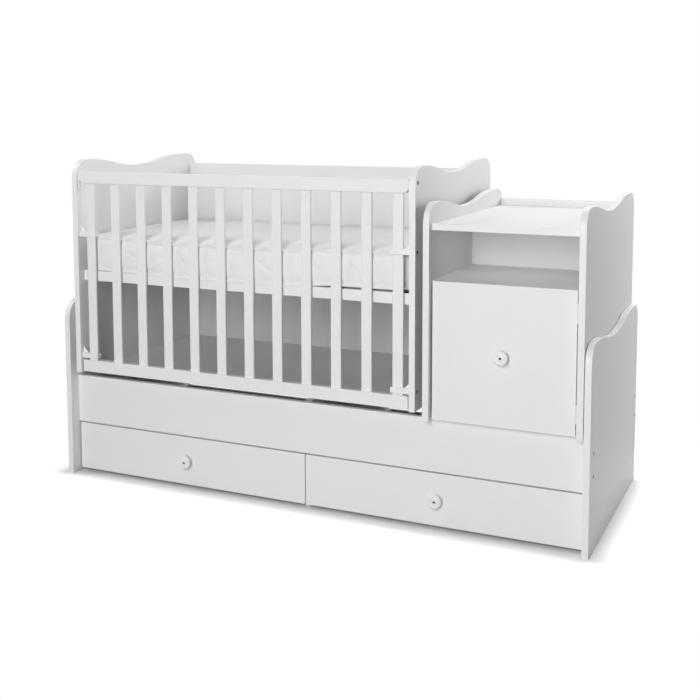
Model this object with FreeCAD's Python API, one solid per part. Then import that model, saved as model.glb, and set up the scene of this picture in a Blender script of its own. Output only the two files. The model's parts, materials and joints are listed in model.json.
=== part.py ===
# Convertible crib: a slatted drop-side crib and a small changing chest that stand
# side by side on a long base with two rolling drawers.
# Millimetres, +Z up, +X along the length, the front faces -Y.
# The origin is on the floor, in the middle of the whole object's box.
import FreeCAD, Part
import math
import os

V = FreeCAD.Vector

# Overall sizes
depth = 686.0                 # front edge to back edge of the base ends
board = 18.0                  # thickness of the lacquered boards
ease = 1.5                    # rounding on the edges of the boards that show

# Wavy top that all the end boards share
end_front_radius = 58.0       # rounded front corner
end_back_radius = 52.0        # rounded back corner
wave_front_flat = 4.0         # level stretch between the front corner and the dip
wave_back_flat = 44.0         # level stretch between the dip and the back corner
wave_drop = 28.0              # depth of the dip

# Base
base_end_height = 562.0
panel_recess = 37.5           # front panel behind the front edges of the ends
back_panel_recess = 5.0       # back panel in front of the back edges of the ends
panel_lift = 164.0            # lower edge of the two long panels above the floor
panel_height = 150.0
deck_thickness = 20.0
deck_recess = 160.0           # front edge of the deck behind the front edges of the ends
deck_chest_gap = 2.0          # deck to the side of the chest

# Bolts with flush round heads
bolt_radius = 3.0
bolt_head_radius = 6.0
bolt_head_height = 5.0
bolt_grip = 40.0              # shank inside the panel that a bolt pulls up
bolt_clear = 0.08             # around shank and head
bolt_tip_gap = 1.0            # hole past the tip of the shank
panel_bolt_spacing = 62.0     # between the two bolts at each panel end

# Drawers
drawer_front_board = 18.0
drawer_floor_gap = 11.0
drawer_top_gap = 4.0          # under the front panel
drawer_side_gap = 5.0         # beside the base end
drawer_split = 2.5            # between the two fronts
drawer_stop_gap = 0.3         # front to the centre support, which stops it
drawer_box_board = 12.0
drawer_bottom_board = 6.0
drawer_box_inset = 22.0       # box side from the end of the front
drawer_back_gap = 27.8        # box to the back panel
drawer_box_drop = 14.0        # top of the box under the top of the front

# Wheels under the drawers
wheel_radius = 18.0
wheel_width = 14.0
wheel_rounding = 2.0
axle_radius = 3.0
axle_clear = 0.08
wheel_side_gap = 0.5
wheel_top_gap = 2.0
castor_cheek = 3.0
castor_plate = 3.0
castor_cheek_width = 18.0
castor_plate_length = 44.0
castor_drop = 7.0             # cheek below the middle of the axle
castor_inset_x = 46.0         # wheel middle from the side of the box
castor_inset_y = 74.0         # wheel middle from the front and back of the box

# Knobs
knob_radius = 20.0
knob_projection = 22.0
knob_stem_radius = 9.0
knob_stem_length = 7.0
knob_rim = 5.0                # straight edge of the disc
knob_front_rounding = 3.0
knob_screw_radius = 2.0
knob_screw_head_radius = 4.5
knob_screw_head_height = 2.5
knob_screw_sink = 0.5         # head below the face of the knob
knob_screw_grip = 13.0        # shank inside the board
knob_screw_clear = 0.08

# Crib
crib_left_gap = 22.2          # to the left base end
crib_inner_length = 1106.0
crib_recess = 2.0             # front edges behind those of the base ends
crib_back_recess = 4.0        # back edges in front of those of the base ends
crib_end_height = 670.0       # above the deck
crib_back_drop = 36.0         # back panel under the top of the crib ends
crib_back_inset = 20.0        # back panel in front of the back edges of the crib ends

# Drop side of the crib
side_recess = 6.7             # front face behind the front edges of the crib ends
rail_depth = 24.0
rail_end_gap = 5.0            # to the crib ends
rail_chamfer = 11.0           # cut lower corner at each end of the top rail
top_rail_height = 36.0
bottom_rail_height = 37.0
bottom_rail_lift = 3.3        # above the deck
side_top_drop = 36.7          # top rail under the top of the crib ends
slat_width = 32.0
slat_thickness = 10.0
slat_ease = 4.0
slat_count = 12
slat_end_gap = 22.2           # outer slat to the crib end

# Guides and catches of the drop side
guide_height = 16.0
guide_upper_lift = 430.0      # lower face above the deck
guide_lower_lift = 46.0
guide_lip = 5.0               # in front of and behind the slat
guide_reach = 3.5             # past the inner edge of the slat
guide_clear = 0.5             # around the slat
guide_rib_height = 18.0
guide_rib_run = 18.0
guide_rib_thickness = 4.0
guide_bolt_grip = 14.0
catch_clear = 0.3             # to the end of the top rail
catch_below_rail = 19.0
catch_top_gap = 2.0           # under the top of the rail
catch_depth = 23.0
catch_bolt_drop = 6.0         # bolt below the top of the catch

# Mattress base and mattress
mattress_base_lift = 322.0    # top face above the deck
mattress_rail_height = 32.0
mattress_rail_recess = 28.5   # front face behind the front edges of the crib ends
mattress_board = 12.0
batten_height = 22.0
batten_width = 18.0
rail_bolt_inset = 18.5        # from the end of the rail
rail_bolt_set = 6.2           # behind the front face of the rail
rail_bolt_grip = 14.0
mattress_end_gap = 3.0        # to the crib ends
mattress_front_set = 0.5      # behind the front face of the front rail
mattress_height = 101.0       # base to the upper seam
mattress_crown = 12.0
mattress_corner = 55.0
mattress_seam = 5.0           # height of the bulge along each seam
mattress_draw = 3.0           # sides drawn in beside the seams
mattress_waist = 4.0          # sides drawn in half way up
mattress_tuck = 9.0           # bottom and top edges turned in past the seams
mattress_clear = 0.3

# Chest
chest_crib_gap = 21.8         # to the crib
chest_width = 436.5
chest_end_gap = 1.5           # to the right base end
chest_side_height = 593.0
chest_top_height = 537.5      # top face above the base panels
chest_top_recess = 22.0
chest_back_rise = 22.0        # back rail above the top
chest_back_rail_height = 60.0
chest_back_board = 4.0
shelf_height = 383.0          # top of the shelf above the base panels
niche_depth = 375.0           # front edges of the sides to the back of the niche

# Door of the chest and its hinges
door_recess = 15.0            # front face behind the front edges of the sides
door_side_gap = 5.0
door_bottom_gap = 3.0         # above the base panels
door_height = 381.0
door_stop_gap = 0.5           # to the edges of shelf and bottom
hinge_forward = 2.6           # pin in front of the face of the door
hinge_gap = 0.3               # barrel to door edge and chest side, and between knuckles
hinge_relief = 0.4            # leaf to the other leaf's knuckle
hinge_leaf_thickness = 1.4
hinge_run = 17.0
hinge_length = 50.0
hinge_inset = 60.0            # hinge middle from top and bottom of the door
hinge_pin_radius = 1.2
hinge_pin_clear = 0.05

# Places that follow from the sizes
crib_span = crib_left_gap + crib_inner_length + 2 * board
length = crib_span + chest_crib_gap + chest_width + chest_end_gap + 2 * board
knob_overhang = max(0.0, knob_projection - door_recess)
front = -(depth - knob_overhang) / 2
back = front + depth
inner = length / 2 - board
panel_front = front + panel_recess
panel_top = panel_lift + panel_height
back_panel_back = back - back_panel_recess
deck_top = panel_top + deck_thickness

crib_left = -inner + crib_left_gap
crib_x0 = crib_left + board
crib_x1 = crib_x0 + crib_inner_length
crib_front = front + crib_recess
crib_back = back - crib_back_recess
crib_back_y = crib_back - crib_back_inset - board
crib_middle = (crib_x0 + crib_x1) / 2

side_y0 = crib_front + side_recess
side_y1 = side_y0 + rail_depth
slat_y = (side_y0 + side_y1) / 2
slat_z0 = deck_top + bottom_rail_lift + bottom_rail_height
slat_z1 = deck_top + crib_end_height - side_top_drop - top_rail_height
slat_length = slat_z1 - slat_z0
outer_slat = (crib_inner_length - slat_width) / 2 - slat_end_gap
slat_pitch = 2 * outer_slat / (slat_count - 1)
catch_top = slat_z1 + top_rail_height - catch_top_gap

mattress_base_top = deck_top + mattress_base_lift
mattress_rail_y0 = crib_front + mattress_rail_recess
mattress_y0 = mattress_rail_y0 + mattress_front_set
mattress_y1 = crib_back_y - mattress_clear
mattress_length = crib_inner_length - 2 * mattress_end_gap
mattress_width = mattress_y1 - mattress_y0

chest_right = inner - chest_end_gap
chest_left = chest_right - chest_width
chest_x0 = chest_left + board
chest_x1 = chest_right - board
chest_top = panel_top + chest_top_height
shelf_top = panel_top + shelf_height
back_rail_y = back - board
back_board_y = back_rail_y - chest_back_board

door_y = front + door_recess
door_z0 = panel_top + door_bottom_gap
door_x0 = chest_x0 + door_side_gap
door_x1 = chest_x1 - door_side_gap
inner_front = door_y + board + door_stop_gap


def block(x0, x1, y0, y1, z0, z1):
    """A plain box between six planes."""
    return Part.makeBox(x1 - x0, y1 - y0, z1 - z0, V(x0, y0, z0))


def eased(x0, x1, y0, y1, z0, z1, radius=ease):
    """A board whose edges are all rounded a little."""
    shape = block(x0, x1, y0, y1, z0, z1)
    return shape.makeFillet(radius, shape.Edges)


def rod(radius, start, direction, run):
    """A round bar."""
    return Part.makeCylinder(radius, run, start, direction)


def arc(start, centre, end):
    """An arc of less than half a circle from start to end."""
    towards = (start - centre) + (end - centre)
    middle = centre + towards.normalize() * (start - centre).Length
    return Part.Arc(start, middle, end).toShape()


def line(start, end):
    return Part.LineSegment(start, end).toShape()


def save(node, *solids):
    """Write one node, a single solid or a group of separate ones."""
    shape = solids[0] if len(solids) == 1 else Part.makeCompound(list(solids))
    shape.exportStep("parts/" + node + ".step")


def wavy_end(x0, y0, y1, z0, z1):
    """An end board with round upper corners and a shallow dip along its top."""
    dip0 = y0 + end_front_radius + wave_front_flat
    dip1 = y1 - end_back_radius - wave_back_flat
    half_run = (dip1 - dip0) / 2
    radius = (half_run ** 2 + wave_drop ** 2) / (4 * wave_drop)
    turn0 = V(x0, dip0 + half_run / 2, z1 - wave_drop / 2)
    turn1 = V(x0, dip1 - half_run / 2, z1 - wave_drop / 2)
    points = {
        "foot0": V(x0, y0, z0),
        "corner0": V(x0, y0, z1 - end_front_radius),
        "top0": V(x0, y0 + end_front_radius, z1),
        "dip0": V(x0, dip0, z1),
        "dip1": V(x0, dip1, z1),
        "top1": V(x0, y1 - end_back_radius, z1),
        "corner1": V(x0, y1, z1 - end_back_radius),
        "foot1": V(x0, y1, z0),
    }
    edges = [
        line(points["foot0"], points["corner0"]),
        arc(points["corner0"], V(x0, y0 + end_front_radius, z1 - end_front_radius), points["top0"]),
        line(points["top0"], points["dip0"]),
        arc(points["dip0"], V(x0, dip0, z1 - radius), turn0),
        arc(turn0, V(x0, dip0 + half_run, z1 - wave_drop + radius), turn1),
        arc(turn1, V(x0, dip1, z1 - radius), points["dip1"]),
        line(points["dip1"], points["top1"]),
        arc(points["top1"], V(x0, y1 - end_back_radius, z1 - end_back_radius), points["corner1"]),
        line(points["corner1"], points["foot1"]),
        line(points["foot1"], points["foot0"]),
    ]
    shape = Part.Face(Part.Wire(edges)).extrude(V(board, 0, 0))
    rims = [edge for edge in shape.Edges if abs(edge.BoundBox.XLength) < ease]
    return shape.makeFillet(ease, rims)


def bolt(place, direction, shank):
    """A round-headed bolt whose head is flush with the face at place."""
    head = rod(bolt_head_radius, place, direction, bolt_head_height)
    return head.fuse(rod(bolt_radius, place, direction, bolt_head_height + shank)).removeSplitter()


def bolt_hole(place, direction, shank):
    """The stepped hole for a bolt."""
    head = rod(bolt_head_radius + bolt_clear, place, direction, bolt_head_height)
    run = bolt_head_height + shank + bolt_tip_gap
    return head.fuse(rod(bolt_radius + bolt_clear, place, direction, run))


def cut_all(shape, tools):
    for tool in tools:
        shape = shape.cut(tool)
    return shape


def base():
    """Two wavy ends, two long panels, a centre support and the deck under the crib."""
    heights = [panel_lift + panel_height / 2 + s * panel_bolt_spacing / 2 for s in (-1, 1)]
    rows = [panel_front + board / 2, back_panel_back - board / 2]
    shank = board - bolt_head_height + bolt_grip
    places = [(side, y, z) for side in (-1, 1) for y in rows for z in heights]
    spots = [(V(side * length / 2, y, z), V(-side, 0, 0), shank) for side, y, z in places]
    holes = [bolt_hole(*spot) for spot in spots]
    for name, x0 in (("left", -length / 2), ("right", inner)):
        save("base_end_" + name, cut_all(wavy_end(x0, front, back, 0, base_end_height), holes))
    panel_x = (-inner, inner)
    front_y = (panel_front, panel_front + board)
    back_y = (back_panel_back - board, back_panel_back)
    save("base_front_panel", cut_all(eased(*panel_x, *front_y, panel_lift, panel_top), holes))
    save("base_back_panel", cut_all(eased(*panel_x, *back_y, panel_lift, panel_top), holes))
    save("base_centre_support", block(-board / 2, board / 2, front_y[1], back_y[0], 0, panel_top))
    deck_x1 = chest_left - deck_chest_gap
    save("base_deck", block(-inner, deck_x1, front + deck_recess, back_panel_back, panel_top, deck_top))
    save("base_bolts", *[bolt(*spot) for spot in spots])


def knob_profile(place):
    """Half section of a round knob, on the plane through its middle."""
    rim0 = knob_projection - knob_front_rounding - knob_rim
    rim1 = knob_projection - knob_front_rounding

    def at(radius, out):
        return place + V(radius, -out, 0)

    flat = knob_radius - knob_front_rounding
    corner = knob_front_rounding
    return Part.Wire([
        line(at(0, 0), at(knob_stem_radius, 0)),
        line(at(knob_stem_radius, 0), at(knob_stem_radius, knob_stem_length)),
        line(at(knob_stem_radius, knob_stem_length), at(knob_radius, rim0)),
        line(at(knob_radius, rim0), at(knob_radius, rim1)),
        arc(at(knob_radius, rim1), at(flat, knob_projection - corner), at(flat, knob_projection)),
        line(at(flat, knob_projection), at(0, knob_projection)),
        line(at(0, knob_projection), at(0, 0)),
    ])


def knob_and_screw(place):
    """A knob on the face at place, its screw, and the hole that the screw needs in the board."""
    out = V(0, -1, 0)
    seat = knob_projection - knob_screw_sink - knob_screw_head_height
    knob = Part.Face(knob_profile(place)).revolve(place, V(0, 1, 0), 360)
    pocket = rod(knob_screw_head_radius + knob_screw_clear, place + out * seat, out, knob_projection)
    hole_run = knob_projection + knob_screw_grip + bolt_tip_gap
    hole = rod(knob_screw_radius + knob_screw_clear, place + out * knob_projection, -out, hole_run)
    knob = knob.cut(pocket).cut(hole)
    head = rod(knob_screw_head_radius, place + out * seat, out, knob_screw_head_height)
    shank = rod(knob_screw_radius, place + out * seat, -out, seat + knob_screw_grip)
    return knob, head.fuse(shank).removeSplitter(), hole


def castor(x, y, top):
    """A castor housing with its axle, and the wheel that turns on the axle."""
    half = wheel_width / 2 + wheel_side_gap
    outer = half + castor_cheek
    reach = castor_plate_length / 2
    cheek = castor_cheek_width / 2
    housing = block(x - outer, x + outer, y - reach, y + reach, top - castor_plate, top)
    low = wheel_radius - castor_drop
    for x0 in (x - outer, x + half):
        housing = housing.fuse(block(x0, x0 + castor_cheek, y - cheek, y + cheek, low, top))
    axle = rod(axle_radius, V(x - outer, y, wheel_radius), V(1, 0, 0), 2 * outer)
    wheel = rod(wheel_radius, V(x - wheel_width / 2, y, wheel_radius), V(1, 0, 0), wheel_width)
    rims = [edge for edge in wheel.Edges if isinstance(edge.Curve, Part.Circle)]
    wheel = wheel.makeFillet(wheel_rounding, rims)
    bore = rod(axle_radius + axle_clear, V(x - outer, y, wheel_radius), V(1, 0, 0), 2 * outer)
    return housing.fuse(axle).removeSplitter(), wheel.cut(bore)


def drawer(name, x0, x1):
    """A drawer that rolls on the floor: front, box, knob and four wheels."""
    prefix = "drawer_" + name + "_"
    y0 = panel_front - drawer_stop_gap
    box_y0 = y0 + drawer_front_board
    box_y1 = back_panel_back - board - drawer_back_gap
    top = panel_lift - drawer_top_gap
    box_top = top - drawer_box_drop
    box_low = 2 * wheel_radius + wheel_top_gap + castor_plate
    box_x0 = x0 + drawer_box_inset
    box_x1 = x1 - drawer_box_inset
    inner_x = (box_x0 + drawer_box_board, box_x1 - drawer_box_board)
    inner_y1 = box_y1 - drawer_box_board
    centre = V((x0 + x1) / 2, y0, (drawer_floor_gap + top) / 2)
    knob, screw, hole = knob_and_screw(centre)
    save(prefix + "front", eased(x0, x1, y0, box_y0, drawer_floor_gap, top).cut(hole))
    save(prefix + "knob", knob)
    save(prefix + "knob_screw", screw)
    save(prefix + "side_left", block(box_x0, inner_x[0], box_y0, box_y1, box_low, box_top))
    save(prefix + "side_right", block(inner_x[1], box_x1, box_y0, box_y1, box_low, box_top))
    save(prefix + "back", block(*inner_x, inner_y1, box_y1, box_low, box_top))
    save(prefix + "bottom", block(*inner_x, box_y0, inner_y1, box_low, box_low + drawer_bottom_board))
    housings = []
    columns = (("left", box_x0 + castor_inset_x), ("right", box_x1 - castor_inset_x))
    rows = (("front", box_y0 + castor_inset_y), ("back", box_y1 - castor_inset_y))
    for row, y in rows:
        for column, x in columns:
            housing, wheel = castor(x, y, box_low)
            housings.append(housing)
            save(prefix + "wheel_" + row + "_" + column, wheel)
    save(prefix + "castor_housings", *housings)


def guide(side, z0):
    """A guide that holds an outer slat and is bolted to the crib end on its own side."""
    face = crib_x0 if side < 0 else crib_x1
    slat = crib_middle + side * outer_slat
    tip = slat - side * (slat_width / 2 + guide_reach)
    y0 = slat_y - slat_thickness / 2 - guide_clear - guide_lip
    y1 = slat_y + slat_thickness / 2 + guide_clear + guide_lip
    z1 = z0 + guide_height
    body = eased(min(face, tip), max(face, tip), y0, y1, z0, z1)
    slot_x = slat_width / 2 + guide_clear
    slot_y = slat_thickness / 2 + guide_clear
    slot = block(slat - slot_x, slat + slot_x, slat_y - slot_y, slat_y + slot_y, z0, z1)
    rib_y = slat_y - guide_rib_thickness / 2
    corners = [
        V(face, rib_y, z1 - ease),
        V(face - side * guide_rib_run, rib_y, z1 - ease),
        V(face, rib_y, z1 + guide_rib_height),
    ]
    rib = Part.Face(Part.makePolygon(corners + corners[:1])).extrude(V(0, guide_rib_thickness, 0))
    return body.cut(slot).fuse(rib).removeSplitter()


def catch(side):
    """The plate on the crib end that the top rail stops beside."""
    face = crib_x0 if side < 0 else crib_x1
    tip = face - side * (rail_end_gap - catch_clear)
    y0 = slat_y - catch_depth / 2
    return eased(min(face, tip), max(face, tip), y0, y0 + catch_depth, slat_z1 - catch_below_rail, catch_top)


def crib():
    """Two wavy ends, the back panel, and the guides and catches with their bolts."""
    lifts = (guide_upper_lift, guide_lower_lift)
    through = board - bolt_head_height
    guide_spots = [(deck_top + lift + guide_height / 2, through + guide_bolt_grip) for lift in lifts]
    catch_spot = (catch_top - catch_bolt_drop, through)
    heights = guide_spots + [catch_spot]
    spots = []
    for side, face in ((-1, crib_x0 - board), (1, crib_x1 + board)):
        for z, shank in heights:
            spots.append((V(face, slat_y, z), V(-side, 0, 0), shank))
    holes = [bolt_hole(*spot) for spot in spots]
    end_box = (crib_front, crib_back, deck_top, deck_top + crib_end_height)
    save("crib_end_left", cut_all(wavy_end(crib_left, *end_box), holes))
    save("crib_end_right", cut_all(wavy_end(crib_x1, *end_box), holes))
    back_y = (crib_back_y, crib_back_y + board)
    back_top = deck_top + crib_end_height - crib_back_drop
    save("crib_back_panel", eased(crib_x0, crib_x1, *back_y, deck_top, back_top))
    save("crib_bolts", *[bolt(*spot) for spot in spots])
    guides = [guide(side, deck_top + lift) for lift in lifts for side in (-1, 1)]
    save("guide_brackets", *[cut_all(shape, holes) for shape in guides])
    save("catch_plates", *[cut_all(catch(side), holes) for side in (-1, 1)])


def top_rail(x0, x1):
    """The hand rail, with its two lower end corners cut off."""
    low = slat_z1
    high = low + top_rail_height
    corners = [
        V(x0, side_y0, high),
        V(x0, side_y0, low + rail_chamfer),
        V(x0 + rail_chamfer, side_y0, low),
        V(x1 - rail_chamfer, side_y0, low),
        V(x1, side_y0, low + rail_chamfer),
        V(x1, side_y0, high),
    ]
    shape = Part.Face(Part.makePolygon(corners + corners[:1])).extrude(V(0, rail_depth, 0))
    return shape.makeFillet(ease, shape.Edges)


def drop_side():
    """Two rails and the slats between them, which slide down as one."""
    x0 = crib_x0 + rail_end_gap
    x1 = crib_x1 - rail_end_gap
    rail_y = (side_y0, side_y1)
    save("drop_side_top_rail", top_rail(x0, x1))
    save("drop_side_bottom_rail", eased(x0, x1, *rail_y, slat_z0 - bottom_rail_height, slat_z0))
    half_x = slat_width / 2
    half_y = slat_thickness / 2
    slats = []
    for number in range(slat_count):
        x = crib_middle - outer_slat + number * slat_pitch
        slat = block(x - half_x, x + half_x, slat_y - half_y, slat_y + half_y, slat_z0, slat_z1)
        uprights = [edge for edge in slat.Edges if edge.BoundBox.ZLength > slat_length / 2]
        slats.append(slat.makeFillet(slat_ease, uprights))
    save("drop_side_slats", *slats)


def mattress_base():
    """The board that carries the mattress, between two rails and on two battens.

    Two bolts stand in the ends of the front rail, with their heads on top of it.
    """
    top = mattress_base_top
    rail_z = (top - mattress_rail_height, top)
    front_y = (mattress_rail_y0, mattress_rail_y0 + board)
    back_y = (crib_back_y - board, crib_back_y)
    xs = (crib_x0 + rail_bolt_inset, crib_x1 - rail_bolt_inset)
    bolt_y = front_y[0] + rail_bolt_set
    head_top = top + bolt_head_height
    spots = [(V(x, bolt_y, head_top), V(0, 0, -1), rail_bolt_grip) for x in xs]
    holes = [bolt_hole(*spot) for spot in spots]
    save("mattress_base_front_rail", cut_all(eased(crib_x0, crib_x1, *front_y, *rail_z), holes))
    save("mattress_base_back_rail", block(crib_x0, crib_x1, *back_y, *rail_z))
    board_y = (front_y[1], back_y[0])
    low = top - mattress_board
    save("mattress_base_board", block(crib_x0, crib_x1, *board_y, low, top))
    batten_z = (low - batten_height, low)
    battens = [block(x, x + batten_width, *board_y, *batten_z) for x in (crib_x0, crib_x1 - batten_width)]
    save("mattress_base_battens", *battens)
    save("mattress_base_bolts", *[bolt(*spot) for spot in spots])


def rounded_outline(inset, z):
    """A rounded rectangle of the mattress, drawn in by inset at height z."""
    middle_y = (mattress_y0 + mattress_y1) / 2
    x1 = mattress_length / 2 - inset
    y1 = mattress_width / 2 - inset
    radius = mattress_corner
    edges = []
    corners = [(1, -1, -90), (1, 1, 0), (-1, 1, 90), (-1, -1, 180)]
    arcs = []
    for sx, sy, angle in corners:
        centre = V(crib_middle + sx * (x1 - radius), middle_y + sy * (y1 - radius), z)
        ends = []
        for turn in (angle, angle + 90):
            way = V(math.cos(math.radians(turn)), math.sin(math.radians(turn)), 0)
            ends.append(centre + way * radius)
        arcs.append((ends[0], centre, ends[1]))
    for number, (start, centre, end) in enumerate(arcs):
        edges.append(arc(start, centre, end))
        edges.append(line(end, arcs[(number + 1) % len(arcs)][0]))
    return Part.Wire(edges)


def mattress():
    """A soft block: bulging seams above and below, sides drawn in, and a low crown."""
    low = mattress_base_top + mattress_clear
    seam_top = low + mattress_height
    middle = (low + seam_top) / 2
    crown_steps = 5
    half = mattress_width / 2
    sections = [
        (mattress_tuck, low),
        (0.0, low + mattress_seam),
        (mattress_draw, low + 2 * mattress_seam),
        (mattress_waist, middle),
        (mattress_draw, seam_top - 2 * mattress_seam),
        (0.0, seam_top - mattress_seam),
        (mattress_tuck, seam_top),
    ]
    reach = half - mattress_tuck - 2 * mattress_corner
    for step in range(1, crown_steps + 1):
        share = step / crown_steps
        rise = mattress_crown * math.sin(share * math.pi / 2)
        sections.append((mattress_tuck + reach * share, seam_top + rise))
    wires = [rounded_outline(inset, z) for inset, z in sections]
    save("crib_mattress", Part.makeLoft(wires, True, True))


def chest():
    """Two wavy sides with bottom, shelf, niche, top and back between them."""
    side_box = (front, back, panel_top, panel_top + chest_side_height)
    save("chest_side_left", wavy_end(chest_left, *side_box))
    save("chest_side_right", wavy_end(chest_x1, *side_box))
    xs = (chest_x0, chest_x1)
    top_low = chest_top - board
    save("chest_top", eased(*xs, front + chest_top_recess, back_rail_y, top_low, chest_top))
    rail_z1 = chest_top + chest_back_rise
    save("chest_back_rail", eased(*xs, back_rail_y, back, rail_z1 - chest_back_rail_height, rail_z1))
    bottom_top = panel_top + board
    save("chest_bottom", block(*xs, inner_front, back_board_y, panel_top, bottom_top))
    save("chest_shelf", block(*xs, inner_front, back_board_y, shelf_top - board, shelf_top))
    niche_y = front + niche_depth
    save("chest_niche_back", block(*xs, niche_y, niche_y + board, shelf_top, top_low))
    save("chest_back_panel", block(*xs, back_board_y, back_rail_y, panel_top, top_low))


def knuckle(x, y, z0, z1):
    """One round knuckle of a hinge, with its bore."""
    barrel = rod(door_side_gap / 2 - hinge_gap, V(x, y, z0), V(0, 0, 1), z1 - z0)
    return barrel.cut(rod(hinge_pin_radius + hinge_pin_clear, V(x, y, z0), V(0, 0, 1), z1 - z0))


def hinge_leaf(x, y, plate_x, z0, own, other):
    """A flat leaf with its own knuckles, cut away round those of the other leaf."""
    plate = block(*plate_x, y, y + hinge_run, z0, z0 + hinge_length)
    room = door_side_gap / 2 - hinge_gap + hinge_relief
    for a, b in other:
        run = b - a + 2 * hinge_gap
        plate = plate.cut(rod(room, V(x, y, a - hinge_gap), V(0, 0, 1), run))
    bore = rod(hinge_pin_radius + hinge_pin_clear, V(x, y, z0), V(0, 0, 1), hinge_length)
    leaf = plate
    for a, b in own:
        leaf = leaf.fuse(knuckle(x, y, a, b))
    return leaf.cut(bore).removeSplitter()


def door():
    """The door of the chest with its knob, on two butt hinges at its right edge."""
    door_z1 = door_z0 + door_height
    middle = V((door_x0 + door_x1) / 2, door_y, (door_z0 + door_z1) / 2)
    knob, screw, hole = knob_and_screw(middle)
    save("chest_door", eased(door_x0, door_x1, door_y, door_y + board, door_z0, door_z1).cut(hole))
    save("chest_door_knob", knob)
    save("chest_door_knob_screw", screw)
    x = chest_x1 - door_side_gap / 2
    y = door_y - hinge_forward
    side_leaves = []
    door_leaves = []
    pins = []
    for middle_z in (door_z0 + hinge_inset, door_z1 - hinge_inset):
        z0 = middle_z - hinge_length / 2
        third = hinge_length / 3
        low = (z0, z0 + third)
        mid = (z0 + third + hinge_gap, z0 + 2 * third - hinge_gap)
        high = (z0 + 2 * third, z0 + hinge_length)
        side_x = (chest_x1 - hinge_leaf_thickness, chest_x1)
        door_x = (door_x1, door_x1 + hinge_leaf_thickness)
        side_leaves.append(hinge_leaf(x, y, side_x, z0, (low, high), (mid,)))
        door_leaves.append(hinge_leaf(x, y, door_x, z0, (mid,), (low, high)))
        pins.append(rod(hinge_pin_radius, V(x, y, z0), V(0, 0, 1), hinge_length))
    save("hinge_side_leaves", *side_leaves)
    save("hinge_door_leaves", *door_leaves)
    save("hinge_pins", *pins)


os.makedirs("parts", exist_ok=True)
base()
drawer("left", -inner + drawer_side_gap, -drawer_split / 2)
drawer("right", drawer_split / 2, inner - drawer_side_gap)
crib()
drop_side()
mattress_base()
mattress()
chest()
door()
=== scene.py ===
# %% [markdown]
# # A convertible crib for a studio photograph
# The object is a white crib with a slatted drop side, a changing chest beside it, and a long base
# with two rolling drawers. The solids come in as a fixed frame, in metres. This lesson dresses them:
# it sets the camera and the light, builds each finish from nodes, and makes the small and soft pieces
# that look better as meshes, such as the mattress, the knobs and the bolt heads.

# %% Load the frame
import json
import math

import bmesh
import bpy
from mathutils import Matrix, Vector


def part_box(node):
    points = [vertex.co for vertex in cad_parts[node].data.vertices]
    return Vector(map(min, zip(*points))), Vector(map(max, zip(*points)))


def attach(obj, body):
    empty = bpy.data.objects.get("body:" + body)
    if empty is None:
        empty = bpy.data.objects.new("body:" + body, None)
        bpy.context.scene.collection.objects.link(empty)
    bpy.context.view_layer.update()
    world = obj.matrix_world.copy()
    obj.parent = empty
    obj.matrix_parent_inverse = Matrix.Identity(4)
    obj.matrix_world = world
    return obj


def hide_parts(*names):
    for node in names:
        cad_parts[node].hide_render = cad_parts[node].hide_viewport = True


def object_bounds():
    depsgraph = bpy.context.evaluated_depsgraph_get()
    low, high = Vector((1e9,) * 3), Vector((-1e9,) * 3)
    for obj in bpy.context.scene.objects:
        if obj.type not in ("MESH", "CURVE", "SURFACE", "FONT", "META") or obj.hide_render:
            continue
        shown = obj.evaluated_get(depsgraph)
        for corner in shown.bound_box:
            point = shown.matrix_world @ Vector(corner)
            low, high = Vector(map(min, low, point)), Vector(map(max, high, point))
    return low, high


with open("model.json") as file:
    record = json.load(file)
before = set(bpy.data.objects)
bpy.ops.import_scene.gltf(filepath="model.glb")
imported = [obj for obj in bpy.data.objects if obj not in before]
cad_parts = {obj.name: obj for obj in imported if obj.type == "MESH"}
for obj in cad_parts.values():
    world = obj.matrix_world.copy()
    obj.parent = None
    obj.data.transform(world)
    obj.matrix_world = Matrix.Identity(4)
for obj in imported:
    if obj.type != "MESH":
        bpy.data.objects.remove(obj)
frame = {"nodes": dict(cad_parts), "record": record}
nodes = frame["nodes"]
cad_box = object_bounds()
print("solids in the frame:", len(nodes))
print("box:", [[round(v, 3) for v in corner] for corner in cad_box])

# %% [markdown]
# ## Camera
# The picture was taken from the right, a little above the hand rail, with a normal lens. A camera can
# be moved by eye, but then the edges never quite match. These values were found from the straight
# edges of the boards, so the render and the picture can be laid over each other. The camera tilts down
# only slightly, so upright edges stay almost upright, and a lens shift centres the object.

# %% Set the camera
picture_side = 700
focal_pixels = 1061.6
optical_middle = (350.5, 219.4)
camera_place = (1.361, -2.9803, 1.1388)
camera_turn = 24.40
camera_tilt = -5.58
camera_roll = 0.08


def placed(name, data):
    """A new object in the scene that shows the data."""
    thing = bpy.data.objects.new(name, data)
    bpy.context.scene.collection.objects.link(thing)
    return thing


camera_data = bpy.data.cameras.new("camera")
camera_data.sensor_width = 36.0
camera_data.lens = camera_data.sensor_width * focal_pixels / picture_side
camera_data.shift_x = (picture_side / 2 - optical_middle[0]) / picture_side
camera_data.shift_y = (optical_middle[1] - picture_side / 2) / picture_side
camera = placed("camera", camera_data)
camera.location = camera_place
camera.rotation_euler = (
    math.radians(90 + camera_tilt),
    math.radians(camera_roll),
    math.radians(camera_turn),
)
bpy.context.scene.camera = camera
print("lens", round(camera_data.lens, 1), "mm")

# %% [markdown]
# ## Node formulas in Python
# A finish is a small formula over the surface. Wiring it by hand takes many lines, so one class wraps
# an output socket and lets Python's operators add the Math nodes. Every other node comes from its
# method `node`, which takes the node's type, its settings, and the values or links of its inputs. The
# same class serves shaders and Geometry Nodes.

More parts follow.
